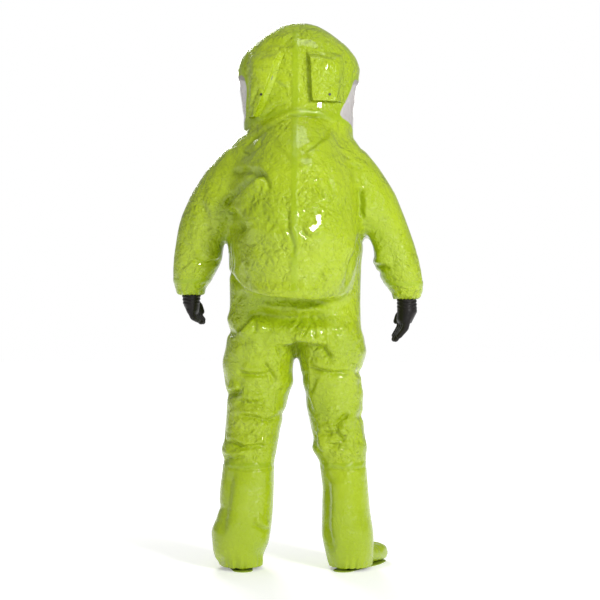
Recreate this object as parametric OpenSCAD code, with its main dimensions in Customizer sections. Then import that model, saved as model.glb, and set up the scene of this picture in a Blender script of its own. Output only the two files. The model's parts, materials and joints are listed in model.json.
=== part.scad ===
// Fully encapsulating chemical protective suit, standing as worn.
// +Z up, the wearer faces -Y, +X is the wearer's left. Floor at Z = 0.

/* [Fabric] */
// Thickness of the laminated fabric walls
wall = 3; // [2:0.5:4]
// Thickness of the clear face shield
lens_wall = 2; // [1.5:0.5:3]
// Roundness of the fabric's cross-sections, 2 is an ellipse
roundness = 2.25; // [2:0.05:2.5]

/* [Moving parts] */
// Height of the bottom of the zip
zip_bottom = 880; // [870:5:900]
// Height of the top of the zip
zip_top = 1380; // [1300:5:1380]
// Width of the storm flap
flap_w = 122; // [118:1:126]
// Diameter of an exhaust valve's flange
valve_d = 64; // [60:1:66]

/* [Hidden] */

lime = [0.66, 0.80, 0.20];
sides = 24;          // sides of every fabric cross-section
axis_y = -62;        // the body's own axis, so that the suit's depth is centred on Y = 0
front_y = -168;      // the flat front that carries the zip, from the body's axis
far = 6000;          // size of a cutting half space

// Trunk up to the neck: [height, x, half width, y, front, back], from the body's axis.
trunk = [
  [600, 4, 200, 0, 140, 140], [850, 4, 232, 0, 168, 168], [935, 4, 230, 0, 168, 165],
  [1050, 4, 232, 0, 168, 165], [1165, 3, 235, 0, 168, 165], [1300, 1, 223, 0, 168, 165],
  [1395, -2, 208, -12, 156, 176], [1430, -4, 200, -28, 148, 182]
];
// Expanded back that covers the air cylinder: [height, half width, back].
hump = [
  [935, 166, 285], [962, 188, 303], [1050, 214, 318], [1165, 226, 330], [1280, 220, 324],
  [1380, 196, 298], [1460, 160, 252], [1530, 116, 196], [1575, 62, 152]
];
hump_front = 40;     // the hump's own front, inside the trunk
hump_y = 60;         // the hump's own axis behind the body's axis

// Hood: [height, half width, front, back] about an axis in front of the body's.
hood_x = -7;
hood_y = -45;
hood_rings = [
  [1458, 193, 147, 192], [1520, 191, 148, 190], [1583, 194, 156, 186], [1640, 202, 160, 184],
  [1700, 212, 161, 186], [1740, 218, 156, 188], [1780, 204, 138, 182], [1808, 180, 121, 170],
  [1836, 150, 101, 150], [1864, 114, 76, 121], [1890, 72, 47, 77], [1903, 26, 17, 30]
];
neck_front = 1465;   // the neck seam's height at the front and its rise per mm of depth
neck_slope = 0.31;

// Sleeves: [outer x, outer z, inner x, inner z, y, half depth], x away from the middle.
left_sleeve = [
  [150, 1540, 105, 1180, 12, 138], [234, 1472, 172, 1158, 10, 130], [300, 1402, 232, 1152, 6, 118],
  [361, 1314, 246, 1145, 2, 106], [400, 1230, 252, 1136, -4, 96], [414, 1182, 254, 1124, -8, 91],
  [422, 1130, 256, 1098, -12, 86], [429, 1088, 260, 1070, -18, 83], [433, 1042, 276, 1040, -24, 80],
  [433, 1000, 297, 1004, -30, 73], [426, 972, 315, 978, -34, 62], [410, 948, 328, 950, -38, 45]
];
right_sleeve = [
  [150, 1540, 105, 1180, 12, 138], [226, 1468, 168, 1158, 10, 130], [284, 1398, 228, 1152, 6, 118],
  [341, 1314, 250, 1148, 2, 106], [378, 1224, 258, 1138, -4, 96], [396, 1176, 262, 1122, -8, 91],
  [413, 1128, 266, 1094, -12, 87], [428, 1080, 271, 1062, -18, 84], [438, 1034, 282, 1028, -24, 82],
  [444, 994, 307, 992, -30, 74], [443, 960, 328, 964, -34, 64], [426, 934, 346, 936, -38, 45]
];
elbow_first = 4;     // the elbow's fabric runs between these two rings
elbow_last = 8;
sleeve_end = 11;
cuff_ring = 9;       // the ring where the splash cuff is sewn on

// Legs: [height, x, half width, y, front, back], x away from the middle.
left_leg = [
  [868, 110, 116, 0, 162, 160], [765, 124, 122, 0, 148, 150], [705, 131, 121, 0, 130, 130],
  [660, 132, 119, 0, 122, 120], [575, 137, 105, 0, 110, 108], [490, 151, 97, 2, 100, 100],
  [405, 161, 93, 6, 94, 96], [366, 165, 90, 10, 92, 94]
];
right_leg = [
  [868, 108, 114, 0, 162, 160], [765, 121, 119, 0, 148, 150], [705, 122, 109, 0, 130, 130],
  [660, 123, 104, 0, 122, 120], [575, 132, 100, 0, 110, 108], [490, 144, 93, 2, 100, 100],
  [405, 155, 89, 6, 94, 96], [366, 162, 83, 10, 92, 94]
];
thigh_first = 3;     // ring numbers of the leg's joints between fabric panels
knee_first = 4;
knee_last = 6;
knee_seam = 7;
// Boot flaps: [height, x, half width, y, front, back].
left_flap = [
  [366, 165, 90, 10, 92, 94], [290, 171, 95, 12, 94, 96], [200, 176, 96, 14, 98, 100],
  [125, 191, 103, 14, 112, 104], [70, 196, 97, 12, 112, 98], [30, 194, 88, 12, 98, 90],
  [8, 191, 76, 12, 86, 84]
];
right_flap = [
  [366, 162, 83, 10, 92, 94], [290, 170, 81, 12, 94, 96], [200, 173, 85, 14, 98, 100],
  [125, 178, 92, 14, 112, 104], [70, 184, 87, 12, 110, 98], [30, 187, 79, 12, 96, 90],
  [8, 189, 72, 12, 86, 84]
];
left_toe_out = 9;
right_toe_out = 30;
ankle_y = 24;        // the ankle's axis behind the body's
sock_top = 352;

// Exhaust valves on the back of the hood, one each side: distance from the middle, depth, height, turn.
valve_x = 104;
valve_y = 121;
valve_z = 1700;
valve_turn = 25;
valve_lift = 2.5;    // travel of the valve's disc
cover_w = 112;
cover_h = 168;
cover_off = 28;      // from the hood's surface to the cover's outer face
cover_gap = 2.4;     // between the cover's edges and the hood, so that it can lift

// ---- Cross-sections and lofts ----
function sign_pow(v, p) = sign(v) * pow(abs(v), p);
function unit(v) = v / norm(v);
function reverse(list) = [for (i = [len(list) - 1 : -1 : 0]) list[i]];
function centre(ring) = [for (k = [0:2]) (ring[0][k] + ring[sides / 2][k]) / 2];

// One closed ring of points about c: half width a along u, depths front and back along v.
function ring(c, u, v, a, front, back) =
  [for (i = [0 : sides - 1])
    let (t = 360 * i / sides, s = sign_pow(sin(t), 2 / roundness))
    c + u * a * sign_pow(cos(t), 2 / roundness) + v * s * (s < 0 ? front : back)];

// Rings run so that their points turn counterclockwise about the way the loft goes.
function along(rings) =
  let (n = cross(rings[0][1] - rings[0][0], rings[0][6] - rings[0][1]),
       way = centre(rings[len(rings) - 1]) - centre(rings[0]))
  n * way > 0 ? rings : reverse(rings);

function wall_faces(rows, first, flip) =
  [for (j = [0 : rows - 2], i = [0 : sides - 1])
    let (k = (i + 1) % sides, a = first + j * sides, b = a + sides)
    each flip
      ? [[a + i, a + k, b + k], [a + i, b + k, b + i]]
      : [[a + i, b + k, a + k], [a + i, b + i, b + k]]];

// A closed solid through the rings.
module loft(rings) {
  r = along(rings);
  rows = len(r);
  last = (rows - 1) * sides;
  polyhedron(
    points = [for (one = r) each one],
    faces = concat(
      wall_faces(rows, 0, false),
      [[for (i = [0 : sides - 1]) i]],
      [[for (i = [sides - 1 : -1 : 0]) last + i]]),
    convexity = 6);
}

// An open tube between outer rings and inner rings.
module tube(outer, inner) {
  o = along(outer);
  n = along(inner);
  rows = len(o);
  total = rows * sides;
  last = (rows - 1) * sides;
  polyhedron(
    points = concat([for (one = o) each one], [for (one = n) each one]),
    faces = concat(
      wall_faces(rows, 0, false),
      wall_faces(rows, total, true),
      [for (i = [0 : sides - 1])
        let (k = (i + 1) % sides)
        each [[i, k, total + k], [i, total + k, total + i]]],
      [for (i = [0 : sides - 1])
        let (k = (i + 1) % sides, a = last, b = total + last)
        each [[a + i, b + k, a + k], [a + i, b + i, b + k]]]),
    convexity = 8);
}

function upright_ring(z, x, y, a, front, back) =
  ring([x, axis_y + y, z], [1, 0, 0], [0, 1, 0], a, front, back);
// In each of these, t is how far the ring lies inside the outer surface.
function hood_ring(s, down, t) =
  upright_ring(s[0] - down, hood_x, hood_y, s[1] - t, s[2] - t, s[3] - t);
function trunk_rings(t) =
  concat(
    [for (s = trunk) upright_ring(s[0], s[1], s[3], s[2] - t, s[4] - t, s[5] - t)],
    [for (i = [0:3]) hood_ring(hood_rings[i], 0, t)]);
function hump_rings(t) =
  [for (i = [0 : len(hump) - 1])
    let (s = hump[i], up = i == 0 ? t : i == len(hump) - 1 ? -t : 0)
    upright_ring(s[0] + up, 0, hump_y, s[1] - t, hump_front - t, s[2] - hump_y - t)];
function hood_rings_in(t) =
  [for (i = [0 : len(hood_rings) - 1])
    hood_ring(hood_rings[i], i == len(hood_rings) - 1 ? t : 0, t)];
function sleeve_rings(list, side, t, first, last) =
  [for (i = [first : last])
    let (s = list[i], o = [side * s[0], s[1]], n = [side * s[2], s[3]],
         mid = (o + n) / 2, u = unit(o - n))
    ring([mid[0], axis_y + s[4], mid[1]], [u[0], 0, u[1]], [0, 1, 0],
         norm(o - n) / 2 - t, s[5] - t, s[5] - t)];
function leg_rings(list, side, t, first, last) =
  [for (i = [first : last])
    let (s = list[i])
    upright_ring(s[0], side * s[1], s[3], s[2] - t, s[4] - t, s[5] - t)];
// The last ring again, a little further out, so that a hollow cuts right through its end.
function run_past(rings, extra) =
  let (n = len(rings), way = unit(centre(rings[n - 1]) - centre(rings[n - 2])))
  concat(rings, [[for (p = rings[n - 1]) p + way * extra]]);

// ---- Half spaces ----
// Everything on the side of point p that direction d points to.
module beyond(p, d) {
  translate(p)
    rotate([0, acos(d[2] / norm(d)), atan2(d[1], d[0])])
      translate([-far / 2, -far / 2, 0])
        cube([far, far, far]);
}
// Above the neck seam, which rises towards the back.
module above_neck() {
  beyond([0, axis_y - 200, neck_front], [0, -neck_slope, 1]);
}
module outside_armhole(side) {
  beyond([side * 207, 0, 1490], [side * 0.995, 0, 0.1]);
}

// ---- Trunk and hood ----
module upper_solid(t) {
  loft(trunk_rings(t));
  loft(hump_rings(t));
  upper_sleeve_solid(left_sleeve, 1, t);
  upper_sleeve_solid(right_sleeve, -1, t);
}
module upper_sleeve_solid(list, side, t) {
  rings = sleeve_rings(list, side, t, 0, elbow_first);
  loft(t > 0 ? run_past(rings, 12) : rings);
}
module upper_shell() {
  difference() {
    upper_solid(0);
    upper_solid(wall);
  }
}
// The trunk below the neck and between the armholes, above the hips.
module trunk_shell() {
  difference() {
    upper_shell();
    above_neck();
    outside_armhole(1);
    outside_armhole(-1);
    beyond([0, 0, trunk[1][0]], [0, 0, -1]);
  }
}
side_seam_y = axis_y + 25;
module front_panel() {
  color(lime) resize([0, 0, 0])
    intersection() {
      trunk_shell();
      beyond([0, side_seam_y, 0], [0, -1, 0]);
    }
}
module back_panel() {
  color(lime) resize([0, 0, 0])
    intersection() {
      trunk_shell();
      beyond([0, side_seam_y, 0], [0, 1, 0]);
    }
}
module upper_sleeve(side) {
  color(lime) resize([0, 0, 0])
    difference() {
      intersection() {
        upper_shell();
        outside_armhole(side);
      }
      above_neck();
    }
}

// The face shield's outline from the side, wrapping the front of the hood.
module shield_window(grow) {
  rotate([90, 0, 90])
    linear_extrude(height = far, center = true)
      offset(r = 18 + grow)
        offset(delta = -18)
          polygon([
            [axis_y - 300, neck_front - 100 * neck_slope + 16],
            [axis_y + 62, neck_front + 262 * neck_slope + 16],
            [axis_y + 36, 1728], [axis_y - 300, 1728]
          ]);
}
module hood_shell(outer_t, inner_t) {
  difference() {
    union() {
      loft(hood_rings_in(outer_t));
      intersection() {
        loft(hump_rings(outer_t));
        beyond([0, axis_y + 60, 0], [0, 1, 0]);
      }
    }
    loft(hood_rings_in(inner_t));
    loft(hump_rings(inner_t));
  }
}
module hood() {
  color(lime) resize([0, 0, 0])
    difference() {
      intersection() {
        hood_shell(0, wall);
        above_neck();
      }
      shield_window(0);
      for (side = [-1, 1])
        valve_frame(side) {
          translate([0, 0, -60]) cylinder(d = valve_body_d + 1, h = 100, $fn = 36);
          translate([0, 0, flange_out - 0.3]) cylinder(d = valve_d + 1, h = 10, $fn = 36);
          translate([0, 0, flange_in - 10]) cylinder(d = valve_d + 1, h = 10.3, $fn = 36);
        }
    }
}
module face_shield() {
  color([0.86, 0.86, 0.84, 0.4]) resize([0, 0, 0])
    intersection() {
      hood_shell(0, lens_wall);
      shield_window(-0.1);
    }
}
module face_shield_seal() {
  color(lime) resize([0, 0, 0])
    intersection() {
      hood_shell(-2, 0);
      difference() {
        shield_window(14);
        shield_window(-9);
      }
      above_neck();
    }
}
module back_seam_tape() {
  color(lime) resize([0, 0, 0])
    intersection() {
      difference() {
        loft(hump_rings(-1));
        loft(hump_rings(0));
      }
      translate([-13, axis_y + 150, 965]) cube([26, 300, 560]);
    }
}

// A flat strip on the front of the trunk, from x0 to x1 beside the zip and t thick.
module front_strip(x0, x1, z0, z1, t) {
  resize([0, 0, 0])
    intersection() {
      difference() {
        loft(trunk_rings(-t));
        loft(trunk_rings(0));
      }
      translate([zip_x + x0, surface_y - 40, z0]) cube([x1 - x0, 80, z1 - z0]);
    }
}

// ---- Belt inside the waist ----
belt_z = 1005;
module waist_belt() {
  color("dimgray") resize([0, 0, 0])
    difference() {
      loft([for (z = [belt_z, belt_z + 38]) upright_ring(z, 0, 0, 190, 135, 130)]);
      loft([for (z = [belt_z - 1, belt_z + 39]) upright_ring(z, 0, 0, 187.5, 132.5, 127.5)]);
    }
}
module belt_buckle() {
  color("black") translate([-32, axis_y - 143, belt_z - 6])
    difference() {
      cube([64, 8, 50]);
      for (x = [10, 38]) translate([x, -1, 9]) cube([16, 10, 32]);
    }
}

// ---- Zip and storm flap ----
zip_x = 2;
surface_y = axis_y + front_y;
tape_t = 1.2;
chain_t = 3;
chain_y = surface_y - tape_t - 0.05;
pitch = 12;
module zip_tape() {
  color("darkolivegreen")
    for (side = [-1, 1])
      front_strip(side * 9.5 - 8.5, side * 9.5 + 8.5, zip_bottom - 10, zip_top + 10, tape_t);
}
// One row of teeth on its spine, which interleaves with the other row.
module tooth_row(start) {
  count = floor((zip_top - zip_bottom - start) / pitch);
  translate([-6, 0]) square([3, zip_top - zip_bottom]);
  for (i = [0 : count - 1])
    translate([-3.2, start + i * pitch]) square([5.2, pitch / 2 - 1]);
}
module zip_chain() {
  color("darkgoldenrod")
    translate([zip_x, chain_y, zip_bottom])
      rotate([90, 0, 0]) {
        linear_extrude(height = chain_t) tooth_row(0);
        linear_extrude(height = chain_t) mirror([1, 0]) tooth_row(pitch / 2);
      }
}
slider_h = 26;
slider_z = zip_top - slider_h - 2;
slider_y = chain_y - chain_t - 0.5;
module zip_slider() {
  color("goldenrod") translate([zip_x, 0, slider_z]) {
    translate([-9, slider_y - 2.5, 0]) cube([18, 2.5, slider_h]);
    for (side = [-1, 1])
      translate([side * 7.75 - 1.25, slider_y - 0.01, 2]) cube([2.5, 3, slider_h - 4]);
    difference() {
      translate([-3, slider_y - 7.5, 4]) cube([6, 5.2, 18]);
      translate([-4, slider_y - 5, 8]) cube([8, 2.4, 10]);
    }
  }
}
module zip_pull() {
  color("goldenrod") translate([zip_x, slider_y - 3.8, slider_z - 28])
    rotate([90, 0, 0])
      linear_extrude(height = 1.6, center = true)
        difference() {
          hull() for (z = [8, 38]) translate([0, z]) circle(d = 14, $fn = 32);
          translate([-4.2, 30.5]) square([8.4, 6]);
          translate([0, 9]) circle(d = 6, $fn = 32);
        }
}
flap_hinge = [zip_x - 62, surface_y + 1.4];
flap_bottom = zip_bottom - 15;
flap_h = zip_top - zip_bottom + 27;
flap_t = 2.4;
// Inner face of the flap from its hinge: it tents over the slider and lands on the loop strip.
flap_face = [[0, 0], [20, -14.8], [84, -14.8], [flap_w - 20, -2.4], [flap_w, -1]];
module storm_flap() {
  color(lime) translate(concat(flap_hinge, flap_bottom))
    linear_extrude(height = flap_h)
      polygon(concat(flap_face, [for (i = [4 : -1 : 1]) flap_face[i] - [i == 1 ? 1.5 : 0, flap_t]]));
}
module hook_strip() {
  color("dimgray") translate(concat(flap_hinge, flap_bottom + 8))
    linear_extrude(height = flap_h - 16)
      polygon(concat([flap_face[3], flap_face[4]], [flap_face[4] + [0, 1.4], flap_face[3] + [0, 1.4]]));
}
module loop_strip() {
  color("dimgray") front_strip(flap_w - 82, flap_w - 62, flap_bottom + 8, flap_bottom + flap_h - 8, 2.2);
}
module flap_seam() {
  color(lime) front_strip(-84, -62.6, flap_bottom, flap_bottom + flap_h, 2);
}

// ---- Exhaust valves: a frame whose +Z leaves the hood and whose +Y is up ----
valve_body_d = 44;
flange_out = 4;      // the flanges clamp the hood between these two faces
flange_in = -8.8;
module valve_frame(side) {
  translate([side * valve_x, axis_y + valve_y, valve_z])
    rotate([90, 0, 180 - side * valve_turn]) children();
}
module valve_base(side) {
  color("gray") valve_frame(side)
    difference() {
      union() {
        translate([0, 0, -9]) cylinder(d = valve_body_d, h = 14, $fn = 64);
        translate([0, 0, flange_out]) cylinder(d = valve_d, h = 3, $fn = 64);
        translate([0, 0, -16]) cylinder(d = valve_d, h = 16 + flange_in, $fn = 64);
      }
      difference() {
        translate([0, 0, -17]) cylinder(d = 34, h = 30, $fn = 64);
        translate([-17, -2, -8]) cube([34, 4, 10]);
        translate([-2, -17, -8]) cube([4, 34, 10]);
        translate([0, 0, -8]) cylinder(d = 10, h = 10, $fn = 48);
      }
      translate([0, 0, -17]) cylinder(d = 4.2, h = 30, $fn = 48);
    }
}
module valve_disc(side) {
  color("dimgray") valve_frame(side) {
    translate([0, 0, 7.2]) cylinder(d = 40, h = 1.4, $fn = 64);
    translate([0, 0, -6]) cylinder(d = 4.05, h = 13.3, $fn = 48);
  }
}
module valve_cap(side) {
  color("gray") valve_frame(side)
    difference() {
      translate([0, 0, 7.05]) cylinder(d = 52, h = 11, $fn = 64);
      translate([0, 0, 7]) cylinder(d = 45, h = 8, $fn = 64);
      for (turn = [0 : 45 : 315])
        rotate([0, 0, turn]) translate([15, 0, 6]) cylinder(d = 7, h = 14, $fn = 32);
    }
}
// A soft cover hinged on its sewn top edge, open at the bottom, with cheeks down to the hood.
module valve_cover(side) {
  color(lime) resize([0, 0, 0])
    difference() {
      valve_frame(side)
        difference() {
          translate([0, 0, -30]) cover_block(0, cover_off + 30);
          translate([0, -40, -31]) cover_block(2.6, cover_off + 28.4);
          translate([0, 0, -31]) cover_block(2.6, cover_off + 28.4);
        }
      loft(hood_rings_in(-cover_gap));
      loft(hump_rings(-cover_gap));
    }
}
module cover_block(inset, h) {
  linear_extrude(height = h)
    offset(r = 12 - inset)
      offset(delta = -12)
        translate([-cover_w / 2, valve_cover_bottom]) square([cover_w, cover_h]);
}
valve_cover_bottom = -82;
module cover_snap(side) {
  color("black") valve_frame(side)
    translate([0, valve_cover_bottom + 14, cover_off]) cylinder(d = 9, h = 2.5, $fn = 40);
}

// ---- Sleeves and gloves ----
function side_sleeve(side) = side > 0 ? left_sleeve : right_sleeve;
module sleeve_tube(side, first, last, out, in) {
  color(lime)
    tube(sleeve_rings(side_sleeve(side), side, out, first, last),
         sleeve_rings(side_sleeve(side), side, in, first, last));
}
module elbow(side) { sleeve_tube(side, elbow_first, elbow_last, 0, wall); }
module lower_sleeve(side) { sleeve_tube(side, elbow_last, cuff_ring, 0, wall); }
module splash_cuff(side) { sleeve_tube(side, cuff_ring, sleeve_end, 0, wall); }
// The sleeve's last ring, t inside its outer surface and raised a little.
function hem_ring(side, t, up) =
  [for (p = sleeve_rings(side_sleeve(side), side, t, sleeve_end, sleeve_end)[0]) p + [0, 0, up]];
module cuff_elastic(side) {
  color("black")
    tube([for (up = [3, 10]) hem_ring(side, wall + 0.4, up)],
         [for (up = [3, 10]) hem_ring(side, wall + 2, up)]);
}
// Centre of the rigid rings that join the glove to the sleeve, inside the cuff.
function wrist(side) =
  let (c = centre(sleeve_rings(side_sleeve(side), side, 0, cuff_ring, cuff_ring)[0])) c;
module glove_ring(side) {
  color("gray") translate(wrist(side) + [0, 0, -14])
    rotate_extrude($fn = 72) polygon([[46, 0], [49.9, 0], [49.9, 22], [53, 22], [53, 28], [46, 28]]);
}
module glove_clamp(side) {
  color("silver") translate(wrist(side) + [0, 0, -8])
    difference() {
      rotate_extrude($fn = 72) translate([52.2, 0]) square([1.6, 12]);
      translate([-4, 40, -1]) cube([8, 20, 14]);
    }
}
// Each hand's wrist, palm and knuckles, below the sleeve's end: [x outwards, y, z, half width, half depth].
left_hand = [[0, 0, 14, 34, 35], [1, -4, -29, 29, 39], [-3, -12, -52, 23, 45]];
right_hand = [[0, 0, 14, 34, 35], [2, -3, -44, 35, 42], [-6, -8, -72, 29, 46]];
// Bends of the fingers from the knuckles: [middle joint, tip].
left_bend = [[-13, -14, -24], [-30, -34, -42]];
right_bend = [[-8, -4, -28], [-34, -10, -68]];
function glove_rows(side, t) =
  let (w = wrist(side),
       e = centre(sleeve_rings(side_sleeve(side), side, 0, sleeve_end, sleeve_end)[0]))
  concat(
    [for (z = [7, -14]) ring(w + [0, 0, z], [1, 0, 0], [0, 1, 0], 52 - t, 52 - t, 52 - t)],
    [for (s = side > 0 ? left_hand : right_hand)
      ring(e + [side * s[0], s[1], s[2]], [1, 0, 0], [0, 1, 0], s[3] - t, s[4] - t, s[4] - t)]);
module finger(from, mid, to, r) {
  hull() {
    translate(from) sphere(r = r, $fn = 12);
    translate(mid) sphere(r = r * 0.97, $fn = 12);
    translate(to) sphere(r = r * 0.82, $fn = 12);
  }
}
module glove(side) {
  rows = glove_rows(side, 0);
  knuckles = centre(rows[4]);
  bend = [for (b = side > 0 ? left_bend : right_bend) [side * b[0], b[1], b[2]]];
  color([0.08, 0.08, 0.08]) resize([0, 0, 0])
    difference() {
      union() {
        loft(rows);
        for (i = [-1.5 : 1.5]) {
          short = abs(i) > 1 ? 0.82 : 1;
          finger(knuckles + [side * i * 6, 22 * i, 5], knuckles + [side * i * 6, 21 * i, 0] + bend[0],
                 knuckles + [side * i * 5, 16 * i, 0] + bend[1] * short, 13.5);
        }
        finger(knuckles + [side * -4, -30, 33], knuckles + [-side * 20, -46, 14],
               knuckles + [-side * 28, -50, -8], 13);
      }
      loft(run_past(reverse(glove_rows(side, 2)), 3));
      translate(wrist(side) + [0, 0, -15]) cylinder(r = 50.1, h = 24, $fn = 72);
      translate(wrist(side) + [0, 0, -9])
        rotate_extrude($fn = 72) translate([52, 0]) square([10, 20]);
    }
}

// ---- Legs ----
function side_leg(side) = side > 0 ? left_leg : right_leg;
function side_flap(side) = side > 0 ? left_flap : right_flap;
function toe_out(side) = side > 0 ? left_toe_out : right_toe_out;
// The seat and groin on one side, from the waist to the top of the thigh, split at the middle.
module hip(side) {
  list = side_leg(side);
  color(lime) resize([0, 0, 0])
    intersection() {
      difference() {
        union() {
          loft(leg_rings(list, side, 0, 0, thigh_first));
          intersection() {
            loft(trunk_rings(0));
            beyond([0, 0, crotch_z], [0, 0, 1]);
          }
        }
        loft(run_past(leg_rings(list, side, wall, 0, thigh_first), 5));
        intersection() {
          loft(trunk_rings(wall));
          beyond([0, 0, crotch_z + wall], [0, 0, 1]);
        }
      }
      beyond([0, 0, 0], [side, 0, 0]);
      beyond([0, 0, trunk[1][0]], [0, 0, -1]);
    }
}
crotch_z = 775;
module leg_tube(side, first, last) {
  color(lime)
    tube(leg_rings(side_leg(side), side, 0, first, last),
         leg_rings(side_leg(side), side, wall, first, last));
}
module thigh(side) { leg_tube(side, thigh_first, knee_first); }
module knee(side) { leg_tube(side, knee_first, knee_last); }
module shin(side) { leg_tube(side, knee_last, knee_seam); }
module boot_flap(side) {
  list = side_flap(side);
  last = len(list) - 1;
  color(lime) resize([0, 0, 0])
    difference() {
      tube(leg_rings(list, side, 0, 0, last), leg_rings(list, side, wall, 0, last));
      foot_frame(side) loft(foot_rings(-1));
    }
}
module flap_elastic(side) {
  s = side_flap(side)[len(left_flap) - 1];
  rim = [for (z = [s[0] + 3, s[0] + 11]) z];
  color("black") resize([0, 0, 0])
    difference() {
      tube([for (z = rim) upright_ring(z, side * s[1], s[3], s[2] - 4, s[4] - 4, s[5] - 4)],
           [for (z = rim) upright_ring(z, side * s[1], s[3], s[2] - 6, s[4] - 6, s[5] - 6)]);
      foot_frame(side) loft(foot_rings(-1));
    }
}
// The foot's frame: origin on the floor below the ankle, toes towards -Y, turned out.
module foot_frame(side) {
  s = side_flap(side)[len(left_flap) - 1];
  translate([side * s[1], axis_y + ankle_y, 0]) rotate([0, 0, side * toe_out(side)]) children();
}
// Rings of the sock: up the ankle, then forward along the foot. Each row is [y, z, half width, half height].
foot_rows = [
  [78, 34, 26, 22], [60, 40, 38, 36], [10, 46, 44, 43], [-60, 44, 48, 41], [-120, 36, 52, 33],
  [-170, 28, 50, 25], [-200, 24, 42, 21], [-216, 21, 26, 15]
];
function foot_rings(t) =
  [for (i = [0 : len(foot_rows) - 1])
    let (s = foot_rows[i], end = i == 0 ? -t : i == len(foot_rows) - 1 ? t : 0)
    ring([0, s[0] + end, s[1]], [1, 0, 0], [0, 0, 1], s[2] - t, s[3] - t, s[3] - t)];
// Rings of its leg: [height, lean towards the middle, y, radius].
ankle_rows = [[30, 0, 0, 40], [90, 2, 4, 46], [150, 7, 2, 52], [sock_top, 24, -12, 60]];
function ankle_rings(side, t) =
  [for (i = [0 : len(ankle_rows) - 1])
    let (s = ankle_rows[i], top = i == len(ankle_rows) - 1 && t > 0 ? 4 : 0, r = s[3] - t)
    ring([-side * s[1], s[2], s[0] + top], [1, 0, 0], [0, 1, 0], r, r, r)];
sole_t = 3;
module sock(side) {
  color(lime) foot_frame(side) resize([0, 0, 0])
    difference() {
      union() {
        loft(foot_rings(0));
        loft(ankle_rings(side, 0));
      }
      loft(foot_rings(wall));
      loft(ankle_rings(side, wall));
      translate([-200, -400, -50]) cube([400, 600, 50 + sole_t]);
    }
}
module sock_sole(side) {
  color([0.5, 0.62, 0.14]) foot_frame(side)
    linear_extrude(height = sole_t)
      hull() {
        translate([0, 52]) circle(r = 34, $fn = 48);
        translate([0, -120]) circle(r = 50, $fn = 48);
        translate([0, -170]) circle(r = 43, $fn = 48);
      }
}

front_panel();
back_panel();
hood();
face_shield();
face_shield_seal();
back_seam_tape();
waist_belt();
belt_buckle();
zip_tape();
zip_chain();
zip_slider();
zip_pull();
storm_flap();
hook_strip();
loop_strip();
flap_seam();
for (side = [-1, 1]) {
  name = side > 0 ? "left_" : "right_";
  valve_base(side);
  valve_disc(side);
  valve_cap(side);
  valve_cover(side);
  cover_snap(side);
  upper_sleeve(side);
  elbow(side);
  lower_sleeve(side);
  splash_cuff(side);
  cuff_elastic(side);
  glove_ring(side);
  glove_clamp(side);
  glove(side);
  hip(side);
  thigh(side);
  knee(side);
  shin(side);
  boot_flap(side);
  flap_elastic(side);
  sock(side);
  sock_sole(side);
}
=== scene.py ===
"""A fully encapsulating chemical protective suit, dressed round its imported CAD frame.

The wearer faces -Y and +X is the wearer's left. Lengths are in metres.
"""

import json
import math

import bmesh
import bpy
import numpy as np
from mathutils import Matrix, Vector
from mathutils.bvhtree import BVHTree


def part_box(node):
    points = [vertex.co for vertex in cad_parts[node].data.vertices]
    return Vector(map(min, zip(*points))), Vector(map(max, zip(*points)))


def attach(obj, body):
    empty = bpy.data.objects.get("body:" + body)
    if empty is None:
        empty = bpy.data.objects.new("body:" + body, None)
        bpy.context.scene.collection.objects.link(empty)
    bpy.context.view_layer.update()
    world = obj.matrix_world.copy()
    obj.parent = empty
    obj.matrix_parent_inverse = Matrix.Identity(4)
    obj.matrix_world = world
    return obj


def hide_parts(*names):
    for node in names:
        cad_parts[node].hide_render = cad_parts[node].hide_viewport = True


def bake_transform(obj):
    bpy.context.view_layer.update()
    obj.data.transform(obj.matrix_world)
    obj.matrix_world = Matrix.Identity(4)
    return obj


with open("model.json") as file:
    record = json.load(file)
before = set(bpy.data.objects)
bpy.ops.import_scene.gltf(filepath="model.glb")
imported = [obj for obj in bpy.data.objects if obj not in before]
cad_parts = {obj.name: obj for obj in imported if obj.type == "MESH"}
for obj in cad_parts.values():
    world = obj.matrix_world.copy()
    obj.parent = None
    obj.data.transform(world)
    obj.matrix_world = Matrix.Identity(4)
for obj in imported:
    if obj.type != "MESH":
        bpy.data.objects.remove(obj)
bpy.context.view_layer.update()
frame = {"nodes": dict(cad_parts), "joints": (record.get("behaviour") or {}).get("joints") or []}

SIDES = {"left": 1, "right": -1}
SLEEVE_NODES = ("upper_sleeve", "elbow", "lower_sleeve", "splash_cuff")
LEG_NODES = ("knee", "shin", "boot_flap")
UP = Vector((0, 0, 1))
LEFT = Vector((1, 0, 0))
BACK = Vector((0, 1, 0))

VOXEL = 0.0085          # grid of the fabric mesh before it is simulated
SPOKES = 96             # points round each section taken from the frame
STEP = 0.012            # height between those sections
WAIST_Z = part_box("front_panel")[0].z
CROTCH_Z = 0.775
THIGH_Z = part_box("left_thigh")[0].z     # where the leg piece is sewn to the seat piece
KNEE_SEAM_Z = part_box("left_boot_flap")[1].z
HEM_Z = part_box("left_boot_flap")[0].z + 0.004
NECK_FRONT = 1.465      # height of the neck seam at NECK_Y, and its rise per metre of depth
NECK_Y = -0.262
NECK_SLOPE = 0.31
ARMHOLE = (0.207, 1.490, 0.1)           # a point (x, z) of the armhole's plane, and its lean
WINDOW = [(-0.362, 1.450), (0.0, 1.562), (-0.026, 1.728), (-0.362, 1.728)]     # (y, z)
WINDOW_ROUND = 0.018
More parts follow.
